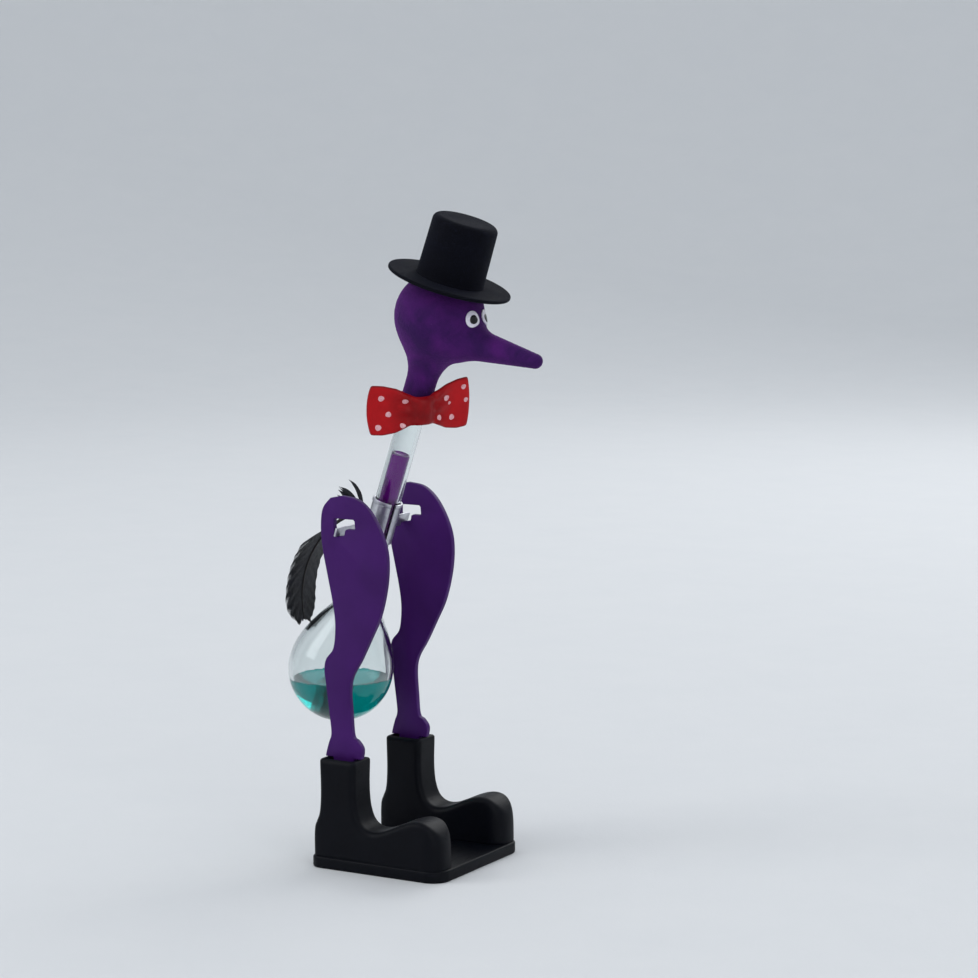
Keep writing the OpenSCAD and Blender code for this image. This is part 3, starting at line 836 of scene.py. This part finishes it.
def head_field(p):
    """The flocked head: a ball, a neck and a beak, run into one another."""
    ahead, left, high = p[:, 0], p[:, 1], p[:, 2] - HEAD_MID
    ball = np.sqrt(ahead**2 + left**2 + high**2) - HEAD_R
    neck_half = HEAD_MID - NECK_LOW - NECK_DROP
    neck = round_both(np.hypot(ahead, left) - NECK_R, np.abs(high + NECK_DROP) - neck_half, 0.45)
    q = np.stack([ahead, left, high], 1)
    axis = BEAK_TIP - BEAK_ROOT
    share = np.clip((q - BEAK_ROOT) @ axis / (axis @ axis), 0, 1)
    beak_r = BEAK_ROOT_R + (BEAK_TIP_R - BEAK_ROOT_R) * share
    beak = np.linalg.norm(q - BEAK_ROOT - share[:, None] * axis, axis=1) - beak_r
    return soft_min(soft_min(ball, neck, NECK_BLEND), beak, BEAK_BLEND)


def hollow(made, outline):
    """Cuts a turned hollow out of a piece."""
    cutter = piece("cutter", [lathe(outline, 64)], None, ())
    settle(made, ("BOOLEAN", {"operation": "DIFFERENCE", "object": cutter, "solver": "EXACT"}), crease=50)
    bpy.data.objects.remove(cutter)


points, faces = skin(head_field, (-13, -13, NECK_LOW - 1), (36, 13, HEAD_MID + 13.5), cell=0.4)
rough = np.random.default_rng(3).normal(0, 0.03, len(points))
points = settle_on(head_field, points) + rough[:, None] * 0.5
head = piece("flocked_head", [(points, faces)], "bird", ["head_cover", "beak"], materials=[FLOCK],
             crease=70)
inner_r, tube_fit = span("head_bulb")[1][1] + 0.05, TUBE_R + 0.04
inner_ball = [(inner_r * math.cos(a), HEAD_MID + inner_r * math.sin(a))
              for a in np.radians(range(-70, 81, 5))]
hollow(head, [(0, NECK_LOW - 3), (tube_fit, NECK_LOW - 3), (tube_fit, HEAD_MID - inner_r + 0.6), *inner_ball,
              (0, HEAD_MID + inner_r)])

# ------------------------------------------------------------------ eyes

EYE_SIDE, EYE_UP, EYE_R, PUPIL_R = 15.5, 16.0, 2.3, 1.27


def cap(side, radius, low, high, shift=(0.0, 0.0), rings=10, steps=48):
    """A domed disc on the head where an eye looks; its face rises from low to high above the flock."""
    around, lift = math.radians(side * EYE_SIDE), math.radians(EYE_UP)
    way = np.array([math.cos(lift) * math.cos(around), math.cos(lift) * math.sin(around), math.sin(lift)])
    beside = np.array([-math.sin(around), math.cos(around), 0])
    above = np.cross(way, beside)
    points, levels = [], []
    dome = [(q, low + (high - low) * math.sqrt(1 - (q * 0.985) ** 2))
            for q in np.linspace(1 / rings, 1, rings)]
    outline = [(0.0, high), *dome, (1.0, low * 0.4 - 0.1), (0.9, -0.3)]
    for q, level in outline:
        for t in np.linspace(0, 2 * math.pi, steps, endpoint=False):
            offset = radius * q * (math.cos(t) * beside + math.sin(t) * above)
            offset = offset + side * shift[0] * beside + shift[1] * above
            points.append(np.array([0, 0, HEAD_MID]) + way * HEAD_R + offset)
            levels.append(level)
    points = settle_on(head_field, np.array(points), np.array(levels), 8)
    return points, [*side_faces(len(outline), steps), end_face(len(outline), steps)]


for side, sign in (("left", 1), ("right", -1)):
    piece(f"{side}_eye", [cap(sign, EYE_R, 0.14, 0.4)], "bird", [f"eye_white_{side}"],
          materials=[EYE_WHITE])
    piece(f"{side}_pupil", [cap(sign, PUPIL_R, 0.38, 0.55, (-0.12, -0.15), 6, 40)], "bird",
          [f"pupil_{side}"], materials=[PUPIL])

# ------------------------------------------------------------------ hat

BRIM_IN = 7.8
CROWN_ROUND = 1.7  # radius of the crown's upper edge
felt_thick = BRIM_HIGH - BRIM_LOW


def band(inner, outer, low, high, radius, steps):
    """A turned band's outline, with rounded corners."""
    return rounded([(inner, low), (outer, low), (outer, high), (inner, high)], radius, steps)


brim_outline = band(BRIM_IN, BRIM_R, BRIM_LOW, BRIM_HIGH, 0.48, 6)
piece("hat_brim_felt", [lathe(brim_outline, 160, closed=True)], "bird", ["hat_brim"], materials=[FELT])

crown_top_r = CROWN_R - 0.4
crown_out = [(CROWN_R, CROWN_LOW), (CROWN_R - 0.1, CROWN_LOW + 0.35), (CROWN_R - 0.14, CROWN_LOW + 1.2)]
crown_out += [(CROWN_R - 0.14 - 0.26 * q, CROWN_LOW + 1.2 + (CROWN_HIGH - CROWN_LOW - 3.0) * q)
              for q in np.linspace(0.1, 1, 9)]
crown_out += [(crown_top_r - CROWN_ROUND * (1 - math.cos(a)),
               CROWN_HIGH - CROWN_ROUND + CROWN_ROUND * math.sin(a)) for a in np.radians(range(8, 91, 9))]
crown_out += [(crown_top_r - 3.4, CROWN_HIGH - 0.03), (4, CROWN_HIGH - 0.12), (0, CROWN_HIGH - 0.15)]
crown_in = [(0, CROWN_HIGH - 1.15), (crown_top_r - 3, CROWN_HIGH - 1.1),
            (crown_top_r - 1.2, CROWN_HIGH - 2.6), (CROWN_R - felt_thick, CROWN_LOW)]
piece("hat_crown_felt", [lathe([*crown_out, *crown_in], 144, closed=True)], "bird", ["hat_crown"],
      materials=[FELT], crease=55)

# ------------------------------------------------------------------ bow tie

BOW_TURN, BOW_ROLL, BOW_HALF, BOW_SWEEP = -38.0, 15.0, 14.6, 16.0
BOW_AHEAD = NECK_R + 2.0  # the bow's middle plane, ahead of the tube's axis
EDGE_AT = [0, 2.4, 4.4, 7.0, 10.4, 13.4, 14.6]
EDGE_HIGH = [3.9, 4.0, 4.95, 6.3, 7.1, 7.25, 7.1]
EDGE_LOW = [-3.9, -4.0, -4.85, -6.2, -6.95, -6.9, -6.7]
CLIP_IN, CLIP_OUT, CLIP_HALF, CLIP_SWEEP = 4.2, 5.03, 1.6, 290


def bow_edges(w):
    """The bow's upper and lower edge at w along it."""
    return np.interp(abs(w), EDGE_AT, EDGE_HIGH), np.interp(abs(w), EDGE_AT, EDGE_LOW)


def bow_thick(w, share):
    """The bow's thickness at w along it, at a share of the way from its middle line to an edge."""
    return (1.5 + 1.6 * math.exp(-((w / 3) ** 2))) * (1 - 0.55 * abs(share) ** 6)


def bow_point(w, h):
    """A point of the bow's middle surface, w along and h across it, as (ahead, along, up) before its turn."""
    reach = abs(w)
    top, low = bow_edges(w)
    across = 2 * (h - low) / (top - low) - 1
    swept = -math.tan(math.radians(BOW_SWEEP)) * (math.sqrt(reach**2 + 9) - 3)
    open_wing = min(max((reach - 3.2) / 5, 0), 1)
    dish = -0.95 * (1 - across**2) * open_wing * (1 - 0.45 * max(0, (reach - 9) / 5.6))
    fold = 0.42 * math.cos(across * 8.5) * math.exp(-(((reach - 4.8) / 2.2) ** 2))
    knot = 0.75 * math.exp(-((reach / 2.6) ** 4)) * (1 - 0.35 * across**2)
    waist = -0.5 * math.exp(-(((reach - 3.3) / 0.8) ** 2))
    return np.array([swept + dish + fold + knot + waist, w, h])


def bow_shape():
    """The bow as one skin round its outline, thicker at the knot."""
    columns = [*np.linspace(-1, -0.9, 4), *np.linspace(-0.86, 0.86, 45), *np.linspace(0.9, 1, 4)]
    rows = np.linspace(-1, 1, 19)
    rings = []
    for c in columns:
        ring = []
        rim = max(0.0, (abs(c) - 0.9) / 0.1)
        for face in (1, -1):
            for t in rows[::face]:
                end = BOW_HALF - 0.75 * abs(t) ** 2.2
                w = c * end
                top, low = bow_edges(w)
                across = t * (1 - 0.045 * rim**3)
                h = (top + low) / 2 + (top - low) / 2 * across
                thick = bow_thick(w, t) * (1 - 0.5 * rim**2)
                ring.append(bow_point(w, h) + np.array([face * thick / 2, 0, 0]))
        rings.append(ring)
    return loft(rings)


def bow_placed(points):
    """Rolls and turns bow points to where the bow sits on the neck."""
    points = np.asarray(points, float) + [BOW_AHEAD, 0, 0]
    roll, turn = math.radians(BOW_ROLL), math.radians(BOW_TURN)
    rolled = np.array(Matrix.Rotation(roll, 3, "X"))
    turned = np.array(Matrix.Rotation(turn, 3, "Z"))
    return points @ rolled.T @ turned.T + [0, 0, BOW_MID]


DOT_R = 0.8  # radius of a dot of size 1
DOT_RINGS, DOT_STEPS = [(0.0, 0.1), (0.5, 0.095), (0.85, 0.075), (1.0, 0.02), (1.04, -0.2)], 28
DOTS = [(-11, 3.6, 1), (-4.9, 2.8, 0.95), (-9, -1, 0.95), (-11.7, -4.6, 1), (-5.5, -3.9, 0.85), (7.1, 2.3, 1),
        (12.3, 4.6, 0.9), (8.1, 0.7, 0.55), (13.2, 0.7, 0.8), (4.8, -2.6, 0.85), (8.8, -3.4, 0.95)]


def dot(w, h, radius):
    """A printed dot, barely raised from the bow's front."""
    points = []
    for q, rise in DOT_RINGS:
        for t in np.linspace(0, 2 * math.pi, DOT_STEPS, endpoint=False):
            wobble = 1 + 0.05 * math.sin(3 * t + w)
            dw, dh = w + radius * q * wobble * math.cos(t), h + radius * q * wobble * math.sin(t)
            thick = bow_thick(dw, min(1, abs(dh) / 7))
            points.append(bow_point(dw, dh) + np.array([thick / 2 + rise, 0, 0]))
    return points, [*side_faces(len(DOT_RINGS), DOT_STEPS), end_face(len(DOT_RINGS), DOT_STEPS)]


bow_points, bow_faces = bow_shape()
bow = piece("bow_tie_body", [(bow_placed(bow_points), bow_faces)], "bird", ["bow_tie"],
            materials=[RED], crease=70)
settle(bow, ("SUBSURF", {"levels": 1, "render_levels": 1}), crease=75)
dots = [dot(w, h, size * DOT_R) for w, h, size in DOTS]
dot_piece = piece("bow_tie_dots", [(bow_placed(p), f) for p, f in dots], None, (), materials=[DOT])
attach(dot_piece, "bird")

clip_outline = band(CLIP_IN, CLIP_OUT, BOW_MID - CLIP_HALF, BOW_MID + CLIP_HALF, 0.3, 4)
clip_ring = lathe(clip_outline, 96, BOW_TURN - CLIP_SWEEP / 2, CLIP_SWEEP, closed=True)
piece("bow_clip_ring", [clip_ring], "bird", ["bow_clip"], materials=[RED], crease=50)

# ------------------------------------------------------------------ studio

# In metres: a round floor that curves up into a wall.
FLOOR_R, WALL_R, CURVE_HIGH, WALL_HIGH = 1.2, 2.4, 0.7, 1.5
LIGHT_AIM = Vector((0.01, 0, 0.09))
sweep = [(0, 0), (0.3, 0), (FLOOR_R, 0)]
sweep += [(FLOOR_R + (WALL_R - FLOOR_R) * math.sin(a), CURVE_HIGH * (1 - math.cos(a)))
          for a in np.linspace(0.1, math.pi / 2, 16)]
sweep += [(WALL_R, WALL_HIGH)]
floor = piece("studio_floor", [lathe(np.array(sweep) / MM, 96)], None, (), STAND, [floor_paper()])


def softbox(name, place, size, power):
    """A rectangular soft light that faces the object."""
    data = bpy.data.lights.new(name, "AREA")
    data.shape, data.energy = "RECTANGLE", power
    data.size, data.size_y = size
    made = bpy.data.objects.new(name, data)
    made.location = place
    made.rotation_euler = (Vector(place) - LIGHT_AIM).to_track_quat("Z", "Y").to_euler()
    bpy.context.scene.collection.objects.link(made)


softbox("key", (-0.85, -0.75, 0.75), (0.6, 0.8), 4.6)
softbox("fill", (0.95, -0.65, 0.45), (0.6, 0.6), 2.2)
softbox("rim", (0.1, 1.1, 0.7), (0.9, 0.5), 4)
world = bpy.data.worlds.new("studio")
world.use_nodes = True
sky = world.node_tree.nodes["Background"]
sky.inputs["Color"].default_value = (0.86, 0.9, 0.95, 1)
sky.inputs["Strength"].default_value = 0.95
bpy.context.scene.world = world
bpy.context.scene.view_settings.view_transform = "Standard"
